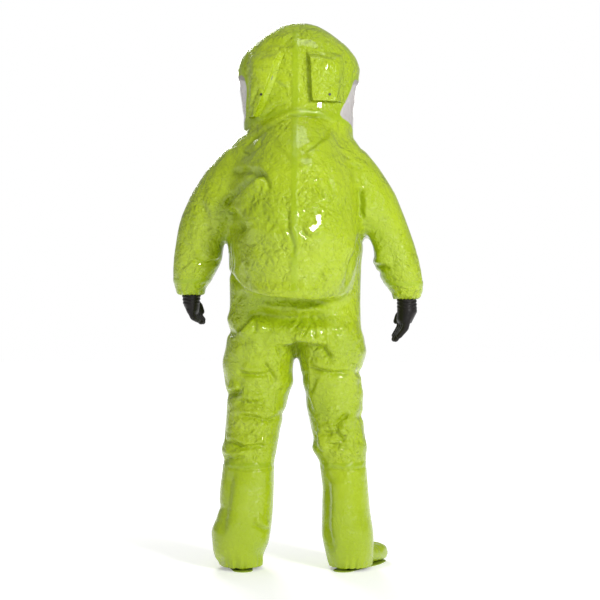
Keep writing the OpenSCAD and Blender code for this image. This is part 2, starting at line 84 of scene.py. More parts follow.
# The hood is worn a little turned: on each side, how much the window is lower than WINDOW, and how much
# further back its rear edge is at the bottom and at the top.
WINDOW_TURN = {"left": (0.016, -0.030, 0.018), "right": (0.031, 0.030, 0.006)}
TAPE_HALF = 0.011       # half the width of a seam tape
WIDE_TAPE_HALF = 1.25 * TAPE_HALF       # and of the one down the middle of the back
TAPE_RISE = 0.0012
WINDOW_EDGE = 0.012     # width of the welded border round the window
SETTLE_STEPS = 14       # frames of the cloth simulation
MOVE_CAP = 0.032        # the furthest that the simulation may move a point


# ---- Helpers ----
def smooth_step(t):
    t = np.clip(t, 0, 1)
    return t * t * (3 - 2 * t)


def joint(name):
    return next(j for j in frame["joints"] if j["name"] == name)


def pivot(name):
    return Vector(joint(name)["pos_m"])


def middle(node):
    low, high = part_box(node)
    return (low + high) / 2


def grid_faces(rows, wide, closed=False):
    """Faces between rows of points, each row wide points long, either open or closed to a ring."""
    return [(j * wide + i, j * wide + (i + 1) % wide, (j + 1) * wide + (i + 1) % wide, (j + 1) * wide + i)
            for j in range(rows - 1) for i in range(wide if closed else wide - 1)]


def merged(meshes):
    """The vertices and the faces of several meshes, each in one list."""
    vertices, faces = [], []
    for mesh in meshes:
        base = len(vertices)
        vertices += [tuple(v.co) for v in mesh.vertices]
        faces += [tuple(base + i for i in p.vertices) for p in mesh.polygons]
    return vertices, faces


def in_scene(name, data):
    """A new object of a mesh, light or camera."""
    thing = bpy.data.objects.new(name, data)
    bpy.context.scene.collection.objects.link(thing)
    return thing


def make_object(name, vertices, faces):
    mesh = bpy.data.meshes.new(name)
    mesh.from_pydata([tuple(v) for v in vertices], [], [tuple(f) for f in faces])
    mesh.update()
    return in_scene(name, mesh)


def aim_at(thing, target):
    thing.rotation_euler = (Vector(target) - thing.location).to_track_quat("-Z", "Y").to_euler()


def vertex_array(mesh):
    co = np.empty(len(mesh.vertices) * 3)
    mesh.vertices.foreach_get("co", co)
    return co.reshape(-1, 3)


def set_vertices(mesh, co):
    mesh.vertices.foreach_set("co", np.asarray(co, float).ravel())
    mesh.update()


def applied(piece):
    """The piece with its modifiers applied to its mesh."""
    graph = bpy.context.evaluated_depsgraph_get()
    mesh = bpy.data.meshes.new_from_object(piece.evaluated_get(graph))
    piece.modifiers.clear()
    piece.data = mesh
    return piece


def subdivided(piece):
    piece.modifiers.new("smooth", "SUBSURF").levels = 1
    return applied(piece)


def shade_smooth(piece):
    piece.data.polygons.foreach_set("use_smooth", [True] * len(piece.data.polygons))
    piece.data.update()
    return piece


def tree_of(vertices, faces):
    return BVHTree.FromPolygons([tuple(v) for v in vertices], [tuple(f) for f in faces])


def node_tree(*nodes):
    """A ray-casting tree over some CAD nodes."""
    return tree_of(*merged(frame["nodes"][node].data for node in nodes))


# ---- Camera, light and floor ----
CAMERA_AZIMUTH = 181.0
CAMERA_DISTANCE = 5.5
CAMERA_HEIGHT = 1.0
VIEW_WIDTH = 2.069      # width of the picture at the suit
AIM = Vector((-0.014, 0, 0.934))


def add_camera():
    data = bpy.data.cameras.new("camera")
    data.sensor_width = 36
    data.lens = data.sensor_width * CAMERA_DISTANCE / VIEW_WIDTH
    camera = in_scene("camera", data)
    a = math.radians(CAMERA_AZIMUTH)
    camera.location = AIM + Vector((math.sin(a), -math.cos(a), 0)) * CAMERA_DISTANCE
    camera.location.z = CAMERA_HEIGHT
    aim_at(camera, AIM)
    bpy.context.scene.camera = camera


def add_area_light(name, at, target, size, power):
    data = bpy.data.lights.new(name, "AREA")
    data.shape = "DISK"
    data.size = size
    data.energy = power
    light = in_scene(name, data)
    light.location = at
    aim_at(light, target)


def add_backdrop_light():
    """White straight behind the suit and dim all round, so that folds keep their shading."""
    world = bpy.data.worlds.new("studio")
    world.use_nodes = True
    tree = world.node_tree
    way = tree.nodes.new("ShaderNodeTexCoord").outputs["Generated"]
    split = tree.nodes.new("ShaderNodeSeparateXYZ")
    tree.links.new(way, split.inputs["Vector"])
    ramp = tree.nodes.new("ShaderNodeMapRange")
    ramp.interpolation_type = "SMOOTHSTEP"
    for name, value in (("From Min", -0.965), ("From Max", -0.93), ("To Min", 1.0), ("To Max", 0.33)):
        ramp.inputs[name].default_value = value
    tree.links.new(split.outputs["Y"], ramp.inputs["Value"])
    tree.links.new(ramp.outputs["Result"], tree.nodes["Background"].inputs["Strength"])
    tree.nodes["Background"].inputs["Color"].default_value = (1, 1, 1, 1)
    bpy.context.scene.world = world


def add_studio():
    chest = (0, 0, 1.1)
    add_area_light("key", (-2.6, 3.7, 2.4), chest, 0.75, 138)
    add_area_light("fill", (3.2, 3.4, 2.2), chest, 2.2, 3)
    add_area_light("front", (0.8, -3.6, 2.8), chest, 1.6, 90)
    add_area_light("top", (-0.6, 0.9, 4.4), chest, 1.2, 22)
    add_backdrop_light()
    bpy.context.scene.view_settings.view_transform = "Standard"
    floor = make_object(
        "floor", [(-14, -14, 0), (14, -14, 0), (14, 14, 0), (-14, 14, 0)], [(0, 1, 2, 3)])
    s = Shader("pale_floor")
    away = s.add("ShaderNodeVectorMath", {0: s.place}, operation="LENGTH")
    glow = s.step(away.outputs["Value"], 1.2, 3.5, "LINEAR")
    s.set(base_color=(0.90, 0.90, 0.90, 1), roughness=0.8, emission_color=(1, 1, 1, 1),
          emission_strength=s.between(glow, 0.32, 0.80))
    floor.data.materials.append(s.material)


# ---- Materials ----
class Shader:
    """A Principled material that is put together node by node."""

    def __init__(self, name):
        self.material = bpy.data.materials.new(name)
        self.material.use_nodes = True
        self.tree = self.material.node_tree
        self.main = self.tree.nodes["Principled BSDF"]
        self.place = self.add("ShaderNodeTexCoord").outputs["Object"]

    def add(self, kind, inputs=(), **settings):
        """A node with its settings, and with its inputs by name or number."""
        node = self.tree.nodes.new(kind)
        for key, value in settings.items():
            setattr(node, key, value)
        for key, value in dict(inputs).items():
            self.put(node.inputs[key], value)
        return node

    def put(self, socket, value):
        if isinstance(value, bpy.types.NodeSocket):
            self.tree.links.new(value, socket)
        else:
            socket.default_value = value

    def set(self, **values):
        for key, value in values.items():
            self.put(self.main.inputs[key.replace("_", " ").title().replace("Ior", "IOR")], value)

    def noise(self, scale, detail=3.0, twist=0.0):
        node = self.add("ShaderNodeTexNoise", {
            "Vector": self.place, "Scale": scale, "Detail": detail, "Distortion": twist})
        return node.outputs["Fac"]

    def cells(self, scale, feature="F1", bend=0.0):
        """Distances in a pattern of cells, whose straight sides bend a little."""
        at = self.bent(bend / scale, scale * 0.7) if bend else self.place
        node = self.add("ShaderNodeTexVoronoi", {"Vector": at, "Scale": scale}, feature=feature)
        return node.outputs["Distance"]

    def bent(self, shift, scale):
        """Places moved about by a smooth noise."""
        noise = self.add("ShaderNodeTexNoise", {"Vector": self.place, "Scale": scale}).outputs["Color"]
        inputs = enumerate((noise, (2 * shift,) * 3, self.place))
        return self.add("ShaderNodeVectorMath", inputs, operation="MULTIPLY_ADD").outputs["Vector"]

    def step(self, value, low, high, kind="SMOOTHSTEP"):
        """0 below low, 1 above high, and smooth or straight between them."""
        inputs = {"Value": value, "From Min": low, "From Max": high}
        return self.add("ShaderNodeMapRange", inputs, interpolation_type=kind).outputs["Result"]

    def wave(self, scale, direction):
        inputs = {"Vector": self.place, "Scale": scale}
        return self.add("ShaderNodeTexWave", inputs, bands_direction=direction).outputs["Fac"]

    def math(self, operation, a, b=0.0, c=0.0):
        return self.add("ShaderNodeMath", enumerate((a, b, c)), operation=operation).outputs["Value"]

    def ridges(self, value):
        """Sharp crests where a smooth noise crosses its middle."""
        away = self.math("ABSOLUTE", self.math("MULTIPLY_ADD", value, 4.0, -2.0))
        return self.math("SUBTRACT", 1.0, away)

    def between(self, value, low, high):
        """A value from 0 to 1 as a number from low to high."""
        return self.math("MULTIPLY_ADD", value, high - low, low)

    def blend(self, value, first, second):
        ramp = self.add("ShaderNodeValToRGB", {"Fac": value})
        for stop, position, colour in zip(ramp.color_ramp.elements, (0.3, 0.7), (first, second)):
            stop.position = position
            stop.color = (*colour, 1)
        return ramp.outputs["Color"]

    def bump(self, height, depth, strength=1.0, below=None):
        node = self.add("ShaderNodeBump", {"Height": height, "Distance": depth, "Strength": strength})
        if below is not None:
            self.put(node.inputs["Normal"], below)
        return node.outputs["Normal"]


LIME = (0.390, 0.510, 0.012)
LIME_DEEP = (0.320, 0.440, 0.005)


def laminate():
    """Glossy lime film on a fabric: crumples, fine creases and a faint cast of the weave below."""
    s = Shader("lime_laminate")
    taped = s.add("ShaderNodeAttribute", attribute_name="tape").outputs["Fac"]
    height = s.add("ShaderNodeSeparateXYZ", {"Vector": s.place}).outputs["Z"]
    calm_shins = s.between(s.step(height, KNEE_SEAM_Z - 0.03, KNEE_SEAM_Z + 0.03), 0.40, 1.0)
    loose = s.math("MULTIPLY", s.between(taped, 1.0, 0.25), calm_shins)
    worked = s.math("MULTIPLY", loose, s.step(s.noise(4.5, 1.0), 0.44, 0.58))
    crumple = s.ridges(s.noise(11, 2.0, 0.8))
    facets = s.math("MINIMUM", s.cells(13, "DISTANCE_TO_EDGE", 0.35), 0.42)
    faceted = s.math("MULTIPLY", loose, s.step(s.noise(3.1, 1.0, 0.5), 0.36, 0.56))
    crackle = s.math("MINIMUM", s.cells(40, "DISTANCE_TO_EDGE", 0.25), 0.40)
    creases = s.ridges(s.noise(46, 2.0, 1.2))
    weave = s.math("ADD", s.wave(320, "X"), s.wave(320, "Z"))
    normal = s.bump(crumple, 0.0050, loose)
    normal = s.bump(facets, 0.0160, faceted, normal)
    normal = s.bump(crackle, 0.0085, worked, normal)
    normal = s.bump(creases, 0.0020, loose, normal)
    normal = s.bump(weave, 0.00005, 0.5, normal)
    colour = s.blend(s.noise(5, 4.0), LIME_DEEP, LIME)
    darker = s.add("ShaderNodeMix", {
        "Factor": s.math("MULTIPLY", taped, 0.9), "A": colour, "B": (0.84, 0.88, 0.60, 1),
    }, data_type="RGBA", blend_type="MULTIPLY")
    s.set(base_color=darker.outputs["Result"], roughness=s.between(s.noise(24, 3.0), 0.20, 0.34),
          specular_ior_level=0.3, coat_weight=0.40, coat_roughness=0.03, normal=normal)
    return s.material


def clear_film():
    """The face shield: a clear, faintly pink-grey plastic sheet with soft streaks."""
    s = Shader("clear_shield")
    haze = s.noise(7, 3.0, 0.5)
    s.set(base_color=s.blend(haze, (0.50, 0.45, 0.44), (0.60, 0.55, 0.54)),
          alpha=s.between(haze, 0.50, 0.62), roughness=s.between(s.noise(30, 2.0), 0.05, 0.14),
          coat_weight=0.3, normal=s.bump(s.noise(9, 2.0), 0.0015))
    return s.material


def finish(name, colour, deep, rough, height, depth, metallic=0.0, shine=0.5):
    """A two-tone material whose surface follows a height made of nodes."""
    s = Shader(name)
    relief = height(s)
    grain = s.noise(30, 5.0)
    s.set(base_color=s.blend(grain, deep, colour), metallic=metallic, specular_ior_level=shine,
          roughness=s.between(s.noise(75, 3.0), rough - 0.06, rough + 0.08),
          normal=s.bump(relief, depth))
    return s.material


def woven(scale):
    return lambda s: s.math("MULTIPLY", s.wave(scale, "X"), s.wave(scale, "Z"))


def ribbed(scale):
    return lambda s: s.math("ADD", s.wave(scale, "Z"), s.math("MULTIPLY", s.noise(scale * 2, 2.0), 0.3))


def grained(scale):
    return lambda s: s.math("ADD", s.cells(scale), s.math("MULTIPLY", s.noise(scale * 3, 4.0), 0.5))


def looped(scale):
    return lambda s: s.ridges(s.noise(scale, 5.0, 3.0))


# Each plain finish: its colour, deeper colour, roughness, relief and depth, then its metal and shine.
FINISHES = {
    "sole_laminate": ((0.33, 0.44, 0.02), (0.24, 0.33, 0.015), 0.55, grained(160), 0.0008),
    "zip_tape": ((0.075, 0.090, 0.030), (0.045, 0.055, 0.020), 0.75, woven(420), 0.0004),
    "zip_brass": ((0.62, 0.44, 0.17), (0.42, 0.28, 0.10), 0.33, grained(300), 0.00008, 1.0),
    "hook_loop": ((0.055, 0.058, 0.055), (0.020, 0.022, 0.020), 0.92, looped(700), 0.0010),
    "webbing": ((0.060, 0.060, 0.062), (0.030, 0.030, 0.032), 0.70, woven(300), 0.0005),
    "black_plastic": ((0.022, 0.022, 0.024), (0.014, 0.014, 0.015), 0.42, grained(900), 0.00006),
    "grey_plastic": ((0.23, 0.24, 0.24), (0.18, 0.185, 0.19), 0.40, grained(700), 0.00008),
    "valve_rubber": ((0.030, 0.030, 0.031), (0.018, 0.018, 0.019), 0.55, grained(500), 0.00006),
    "glove_rubber": (
        (0.013, 0.011, 0.010), (0.007, 0.006, 0.0055), 0.42, grained(240), 0.00035, 0.0, 0.22),
    "elastic": ((0.050, 0.050, 0.050), (0.025, 0.025, 0.025), 0.80, ribbed(500), 0.0006),
    "clamp_steel": ((0.56, 0.56, 0.57), (0.42, 0.42, 0.43), 0.28, ribbed(900), 0.00004, 1.0),
}


def make_finishes():
    """The material of every slot in the record."""
    plain = {name: finish(name, *row) for name, row in FINISHES.items()}
    return {"laminate": laminate(), "shield": clear_film(), **plain}


def dress(piece, slot):
    piece.data.materials.clear()
    piece.data.materials.append(finishes[slot])
    return piece


def section(tree, centre, u, v, reach=0.6):
    """The outline of the frame's surface about centre, in the plane of u and v."""
    radii = np.full(SPOKES, np.nan)
    ways = []
    for i in range(SPOKES):
        a = 2 * math.pi * i / SPOKES
        way = u * math.cos(a) + v * math.sin(a)
        ways.append(way)
        hit = tree.ray_cast(centre + way * reach, -way, reach)[0]
        if hit is not None:
            radii[i] = (hit - centre).length
    known = np.flatnonzero(~np.isnan(radii))
    radii = np.interp(np.arange(SPOKES), known, radii[known], period=SPOKES)
    for _ in range(3):
        radii = (np.roll(radii, 1) + 2 * radii + np.roll(radii, -1)) / 4
    return [centre + way * r for way, r in zip(ways, radii)]


def loft(name, rings):
    """A closed solid through rings of points."""
    n = len(rings[0])
    vertices = [p for ring in rings for p in ring]
    faces = grid_faces(len(rings), n, closed=True)
    faces += [tuple(reversed(range(n))), tuple(range(len(vertices) - n, len(vertices)))]
    return make_object(name, vertices, faces)


def heights(low, high):
    return [float(z) for z in np.linspace(low, high, max(2, round((high - low) / STEP)))]


def trunk_solid():
    tree = node_tree("front_panel", "back_panel", "hood", "face_shield", "left_hip", "right_hip")
    rings = []
    for z in heights(CROTCH_Z + 0.012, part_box("hood")[1].z - 0.004):
        y = -0.02 - 0.08 * float(smooth_step((z - 1.48) / 0.16))     # the hood's middle is further forward
        rings.append(section(tree, Vector((0, y, z)), LEFT, BACK))
    return loft("trunk", rings)


def leg_solid(side):
    tree = node_tree(*(f"{side}_{part}" for part in ("hip", "thigh") + LEG_NODES))
    hip = pivot(f"{side}_hip_swing")
    knee = pivot(f"{side}_knee_bend")
    foot = middle(f"{side}_boot_flap")
    foot.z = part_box(f"{side}_boot_flap")[0].z
    rings = []
    for z in heights(foot.z + 0.001, CROTCH_Z - 0.004):
        if z > knee.z:
            centre = hip.lerp(knee, (hip.z - z) / (hip.z - knee.z))
        else:
            centre = knee.lerp(foot, (knee.z - z) / (knee.z - foot.z))
        rings.append(section(tree, centre, LEFT, BACK))
    rings.append([p + UP * 0.04 for p in rings[-1]])
    rings.insert(0, [p - UP * 0.014 for p in rings[0]])
    return loft(f"{side}_leg", rings)


def arm_solid(side):
    """Sections fan out round the armpit, from the shoulder down to the cuff."""
    sign = SIDES[side]
    tree = node_tree(*(f"{side}_{part}" for part in SLEEVE_NODES))
    elbow = pivot(f"{side}_elbow_bend")
    cuff_low, cuff_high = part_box(f"{side}_splash_cuff")
    cuff = (cuff_low + cuff_high) / 2
    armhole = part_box(f"{side}_upper_sleeve")[0 if sign > 0 else 1].x
    # (centre, degrees that the section leans from level) at a few places along the arm
    guides = [
        (Vector((armhole + sign * 0.012, elbow.y + 0.020, 1.325)), 83),
        (Vector((armhole + sign * 0.060, elbow.y + 0.018, 1.275)), 74),
        (elbow + Vector((-sign * 0.038, 0.012, 0.115)), 52),
        (elbow + Vector((-sign * 0.014, 0.004, 0.060)), 30),
        (elbow, 14),
        (Vector((cuff.x - sign * 0.008, cuff.y, cuff_high.z)), 2),
        (Vector((cuff.x - sign * 0.004, cuff_low.y / 2 + cuff_high.y / 2, cuff_low.z + 0.004)), 0),
    ]
    rings = []
    for (start, lean_a), (end, lean_b) in zip(guides, guides[1:]):
        count = max(2, round((end - start).length / STEP))
        for i in range(count):
            t = i / count
            lean = math.radians(lean_a + (lean_b - lean_a) * t)
            u = Vector((sign * math.cos(lean), 0, math.sin(lean)))
            rings.append(section(tree, start.lerp(end, t), u, BACK))
    rings.insert(0, [p - LEFT * sign * 0.05 for p in rings[0]])
    rings.append([p - UP * 0.014 for p in rings[-1]])
    if sign > 0:
        rings.reverse()
    return loft(f"{side}_arm", rings)


def join(pieces, name):
    vertices, faces = merged([piece.data for piece in pieces])
    for piece in pieces:
        bpy.data.objects.remove(piece)
    return make_object(name, vertices, faces)


def remeshed(pieces, name, voxel, rounds):
    """The pieces as one skin on an even grid, relaxed for some rounds."""
    piece = join(pieces, name)
    grid = piece.modifiers.new("grid", "REMESH")
    grid.mode = "VOXEL"
    grid.voxel_size = voxel
    relax = piece.modifiers.new("relax", "SMOOTH")
    relax.iterations = rounds
    return shade_smooth(applied(piece))


def garment_skin():
    solids = [trunk_solid()]
    solids += [leg_solid(side) for side in SIDES]
    solids += [arm_solid(side) for side in SIDES]
    return remeshed(solids, "skin", VOXEL, 12)


# ---- The garment's cloth ----
def seam_heights(at):
    """Signed distances from the garment's seams, each along the fabric at rest."""
    x, y, z = at[:, 0], at[:, 1], at[:, 2]
    neck = (z - NECK_FRONT - NECK_SLOPE * (y - NECK_Y)) / math.hypot(1, NECK_SLOPE)
    arm_x, arm_z, lean = ARMHOLE
    seams = {"neck": neck, "window": window_distance(x, y, z), "waist": z - WAIST_Z, "thigh": z - THIGH_Z,
             "middle": x, "knee_seam": z - KNEE_SEAM_Z, "hem": z - HEM_Z}
    for side, sign in SIDES.items():
        end, seam = cuff_levels(side)
        seams[f"{side}_armhole"] = (sign * x - arm_x) + (z - arm_z) * lean
        seams[f"{side}_cuff_seam"] = z - seam
        seams[f"{side}_cuff"] = z - end
    return seams


def cuff_levels(side):
    """Heights of the cuff's open end and of its seam to the sleeve."""
    low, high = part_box(f"{side}_splash_cuff")
    return low.z + 0.003, high.z - 0.004


def window_distance(x, y, z):
    """How far a point is outside the face shield's rounded outline in side view."""
    rise = smooth_step((z - 1.56) / 0.12)
    drop, low, high = (left + (right - left) * smooth_step(0.5 - x / 0.10)
                       for left, right in zip(WINDOW_TURN["left"], WINDOW_TURN["right"]))
    y = y - low - (high - low) * rise
    z = z + drop * rise
    over = []
    for (y0, z0), (y1, z1) in zip(WINDOW, WINDOW[1:] + WINDOW[:1]):
        length = math.hypot(y1 - y0, z1 - z0)
        over.append(((y - y0) * (z1 - z0) - (z - z0) * (y1 - y0)) / length + WINDOW_ROUND)
    over = np.array(over)
    outside = np.sqrt((np.maximum(over, 0) ** 2).sum(0))
    return outside + np.minimum(over.max(0), 0) - WINDOW_ROUND


def unit_rows(a):
    return a / np.maximum(np.linalg.norm(a, axis=1, keepdims=True), 1e-9)


def point_normals(points, triangles):
    """Normals of a whole surface, so that its pieces shade as one."""
    a, b, c = (points[triangles[:, i]] for i in range(3))
    face = np.cross(b - a, c - a)
    out = np.zeros_like(points)
    for i in range(3):
        for k in range(3):
            out[:, k] += np.bincount(triangles[:, i], face[:, k], len(points))
    return unit_rows(out)


def stretched(at):
    """The cloth's slack: how much longer it is cut than the shape it hangs in."""
    out = at.copy()
    z = at[:, 2]
    leg, body, top = 0.105, 0.055, 0.018
    rise = np.where(z < WAIST_Z, z * leg, WAIST_Z * leg + (z - WAIST_Z) * body)
    shoulder = 1.45
    over = WAIST_Z * leg + (shoulder - WAIST_Z) * body + (z - shoulder) * top
    out[:, 2] += np.where(z > shoulder, over, rise)
    out[:, 0] *= 1.02
    out[:, 1] *= 1.02
    return out


def held(at):
    """How firmly each point is held, from 0 to 1: hems, seams round the window, and the zip."""
    s = seam_heights(at)
    x, y, z = at[:, 0], at[:, 1], at[:, 2]
    boots, body, shoulders = 0.3, 0.15, 0.75        # how firmly each is held where nothing pins it
    boot_top, shoulder_start, crown = 0.36, 1.30, 1.84
    hold = np.where(z < boot_top, boots, body)
    hold = np.maximum(hold, shoulders * smooth_step((z - shoulder_start) / 0.16))
    firm = (z < HEM_Z + 0.006) | (z > crown)
    firm |= (s["window"] < 0.022) & (s["neck"] > -0.02)
    firm |= (y < -0.17) & (abs(x) < 0.10) & (z > 0.86) & (z < 1.42)
    for side, sign in SIDES.items():
        end = cuff_levels(side)[0]
        firm |= (sign * x > 0.25) & (z < end + 0.012) & (z > end - 0.03)
    firm |= (abs(s["neck"]) < 0.008)
    hold[firm] = 1
    return hold


def settle(skin):
    """Let the slack cloth buckle for a second, and cap how far it may move."""
    start = vertex_array(skin.data)
    skin.shape_key_add(name="start")
    slack = skin.shape_key_add(name="slack")
    slack.data.foreach_set("co", stretched(start).ravel())
    slack.value = 0
    hold = held(start)
    group = skin.vertex_groups.new(name="held")
    for level in np.unique(hold):
        group.add([int(i) for i in np.flatnonzero(hold == level)], float(level), "REPLACE")
    cloth = skin.modifiers.new("cloth", "CLOTH")
    settings = cloth.settings
    settings.quality = 4
    settings.mass = 0.25
    settings.tension_stiffness = 18
    settings.compression_stiffness = 18
    settings.shear_stiffness = 6
    settings.bending_stiffness = 0.8
    settings.tension_damping = 6
    settings.compression_damping = 6
    settings.air_damping = 3
    settings.vertex_group_mass = "held"
    settings.pin_stiffness = 1.0
    settings.use_pressure = True
    settings.uniform_pressure_force = 0.8
    settings.rest_shape_key = slack
    settings.effector_weights.gravity = 0.12
    cloth.collision_settings.use_collision = False
    scene = bpy.context.scene
    for step in range(1, SETTLE_STEPS + 1):
        scene.frame_set(step)
    graph = bpy.context.evaluated_depsgraph_get()
    ended = vertex_array(skin.evaluated_get(graph).data).copy()
    scene.frame_set(1)
    skin.modifiers.clear()
    skin.shape_key_clear()
    move = ended - start
    far = np.linalg.norm(move, axis=1, keepdims=True)
    move *= np.tanh(far / MOVE_CAP) * MOVE_CAP / np.maximum(far, 1e-9)
    return start + np.nan_to_num(move)


FOLD_REACH = 5          # how many half widths from its path a fold can reach
FACING_AWAY = -0.35     # the normal's y below which cloth is on the front and has no such folds
MILLIMETRE = 0.001

# Folds on the suit's back as seen from behind, in millimetres: half width, ridge, valley, path of (x, z).
# Along the path the ridge is on the right-hand side and the valley on the left.
FOLDS = [
    # hood
    (6, 3, 14, [(183, 1452), (148, 1490), (103, 1531), (55, 1558), (14, 1576), (-34, 1579), (-83, 1572),
        (-114, 1558), (-128, 1538)]),
    (11, 4, 6, [(-121, 1552), (-110, 1496), (-66, 1462), (-24, 1438)]),
    (12, 2, 7, [(110, 1827), (55, 1827), (0, 1817)]),
    (9, 1, 8, [(-41, 1796), (-90, 1779), (-145, 1765)]),
    (9, 4, 6, [(110, 1665), (131, 1610), (141, 1552)]),
    (7, 3, 5, [(72, 1693), (28, 1665)]),
    (8, 4, 5, [(117, 1569), (69, 1610), (21, 1621)]),
    # back
    (17, 5, 12, [(231, 1376), (183, 1393), (128, 1390), (90, 1362)]),
    (12, 4, 9, [(107, 1383), (90, 1348), (79, 1314)]),
    (15, 16, 22, [(103, 1379), (145, 1348), (183, 1310), (217, 1269), (245, 1245)]),
    (20, 6, 20, [(214, 1259), (193, 1221), (172, 1179)]),
    (10, 5, 16, [(-228, 1327), (-234, 1262), (-231, 1203)]),
    (16, 9, 9, [(-159, 962), (-179, 1052), (-197, 1124), (-221, 1190)]),
    (9, 5, 6, [(21, 1259), (14, 1176), (-3, 1127), (0, 1079)]),
    (17, 11, 36, [(193, 983), (152, 959), (97, 945), (21, 940), (-55, 934), (-131, 933)]),
    (32, 0, 34, [(172, 914), (90, 896), (-14, 890), (-131, 896)]),
    (9, 5, 7, [(172, 1065), (166, 1017), (155, 976)]),
    (11, 8, 9, [(231, 1045), (200, 1003), (166, 969)]),
    (8, 4, 4, [(-14, 1383), (-55, 1396), (-90, 1376)]),
    (10, 6, 5, [(-76, 1355), (-93, 1321), (-103, 1279)]),
    (10, 6, 5, [(-21, 1196), (-41, 1169), (-59, 1148)]),
    (8, 5, 4, [(-117, 1362), (-138, 1321), (-131, 1272)]),
    (8, 4, 4, [(-28, 1259), (-55, 1245), (-97, 1252)]),
    (9, 5, 4, [(-90, 1045), (-103, 1003), (-97, 962)]),
    (8, 4, 6, [(193, 1459), (159, 1445), (110, 1486)]),
    # sleeves
    (12, 8, 14, [(-241, 1169), (-265, 1121), (-276, 1079), (-269, 1045)]),
    (11, 7, 8, [(-269, 1065), (-303, 1055), (-331, 1045)]),
    (10, 4, 5, [(-169, 1417), (-200, 1403), (-228, 1400)]),
    (20, 8, 8, [(324, 1293), (297, 1231), (279, 1169)]),
    (12, 6, 8, [(365, 1090), (314, 1065), (255, 1079)]),
    # seat
    (6, 5, 6, [(21, 821), (-3, 852), (-28, 896)]),
    (6, 5, 6, [(-10, 796), (-38, 838), (-59, 890)]),
    (6, 5, 5, [(-59, 890), (-69, 845), (-72, 796)]),
    (5, 3, 4, [(17, 859), (-14, 834), (-41, 824)]),
    (8, 4, 5, [(-117, 872), (-145, 845), (-159, 810)]),
    (14, 10, 14, [(138, 893), (169, 855), (203, 817)]),
    (10, 5, 7, [(138, 896), (134, 859), (131, 817)]),
    (11, 9, 13, [(34, 814), (-3, 793), (-52, 786), (-100, 779), (-124, 741), (-131, 710)]),
    (8, 6, 7, [(62, 779), (55, 762), (48, 741)]),
    (11, 9, 11, [(110, 728), (83, 693), (59, 648)]),
    (11, 9, 12, [(200, 700), (166, 686), (117, 683), (83, 690)]),
    (12, 15, 18, [(241, 624), (214, 617), (186, 631)]),
    (12, 11, 14, [(-45, 721), (-83, 700), (-131, 690), (-197, 693)]),
    (12, 7, 10, [(-24, 755), (-41, 707), (-41, 610), (-66, 541)]),
    (11, 6, 7, [(-79, 669), (-69, 638), (-59, 607)]),
    # legs
    (6, 2, 5, [(248, 362), (193, 353), (138, 352), (76, 359)]),
    (6, 2, 5, [(-90, 362), (-169, 353), (-207, 355), (-248, 362)]),
    (12, 9, 8, [(207, 597), (152, 586), (97, 593)]),
    (11, 8, 11, [(214, 541), (155, 538), (97, 524), (52, 541)]),
    (10, 9, 12, [(248, 455), (214, 448), (176, 431), (117, 438), (83, 431)]),
    (9, 8, 9, [(252, 403), (217, 393), (172, 400)]),
    (9, 6, 6, [(159, 472), (138, 465), (117, 462)]),
    (10, 8, 9, [(-186, 541), (-159, 514), (-138, 490)]),
    (9, 8, 9, [(-138, 490), (-155, 469), (-176, 448)]),
    (10, 7, 10, [(-76, 476), (-103, 483), (-134, 479)]),
    (9, 6, 8, [(-103, 445), (-145, 438), (-190, 428)]),
    (12, 11, 8, [(-72, 486), (-79, 445), (-97, 403)]),
    (10, 6, 8, [(152, 169), (117, 152), (90, 141)]),
    (20, 7, 8, [(-117, 348), (-124, 245), (-121, 152), (-141, 52)]),
    (20, 7, 6, [(207, 355), (224, 228), (248, 107)]),
]


# Swells and hollows of the cloth, whatever way it faces, in millimetres: x, z, radius and rise.
SWELLS = [
    (-197, 1114, 30, 10), (-169, 1262, 26, -6), (-34, 859, 20, 6), (239, 717, 42, 8),
    (226, 608, 17, -13), (248, 417, 26, 8), (239, 384, 12, -7), (231, 869, 22, 8), (221, 821, 13, -13),
    (17, 648, 26, 6), (45, 541, 15, -6), (265, 221, 16, -5), (283, 138, 26, 4), (262, 31, 18, -8),
    (114, 52, 30, -11), (-238, 752, 30, 7), (-221, 684, 13, -10), (-234, 610, 24, 5),
    (-226, 533, 14, -8), (-239, 431, 26, 5), (-72, 424, 22, 12), (-28, 672, 15, -5),
    (-262, 1065, 13, 8), (-279, 1024, 11, -8), (200, 1183, 28, -22), (145, 1193, 40, 6),
    (-100, 1176, 60, 5), (152, 1065, 40, 5), (-14, 848, 30, 6), (-186, 814, 30, 5), (117, 848, 24, 5),
    (159, 641, 30, 5), (117, 503, 20, 5), (-117, 607, 28, 5), (-169, 486, 24, 6), (-138, 410, 18, 4),
    (176, 410, 18, 5),
]


def seen_from_behind(at):
    """Where each point lies in the plane through the suit's middle, as the camera sees it."""
    grow = (CAMERA_DISTANCE / (CAMERA_DISTANCE - at[:, 1]))[:, None]
    flat = at[:, [0, 2]]
    aim = np.array([AIM.x, AIM.z])
    return aim + (flat - aim) * grow


